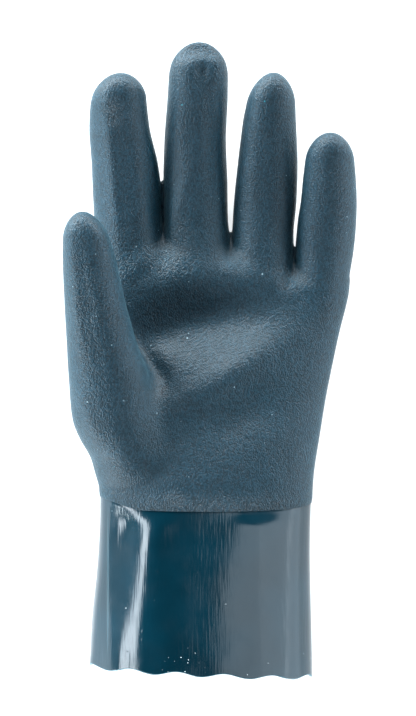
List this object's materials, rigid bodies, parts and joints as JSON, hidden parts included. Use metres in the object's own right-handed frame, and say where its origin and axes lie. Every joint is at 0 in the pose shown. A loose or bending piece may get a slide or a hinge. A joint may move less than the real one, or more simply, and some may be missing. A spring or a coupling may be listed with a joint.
{
  "type": "chemical-resistant glove",
  "caption": "Left-hand chemical-resistant work glove: dipped shell with a matt grip coat over the hand and a smooth glossy gauntlet cuff with a wavy cut hem, lying palm up.",
  "frame": {"origin": "under the middle of the glove, on the surface that it lies on", "axes": "+Y from the cuff to the fingertips, +Z out of the palm, thumb towards -X"},
  "size_m": [0.1244, 0.27, 0.0635],
  "materials": {
    "grip_coat": "matt, fine-grained dipped coat in greyed petrol blue",
    "smooth_coat": "smooth, glossy dipped coat in deep petrol blue"
  },
  "bodies": {
    "root": {"hand": "grip_coat", "cuff": "smooth_coat"}
  },
  "joints": []
}
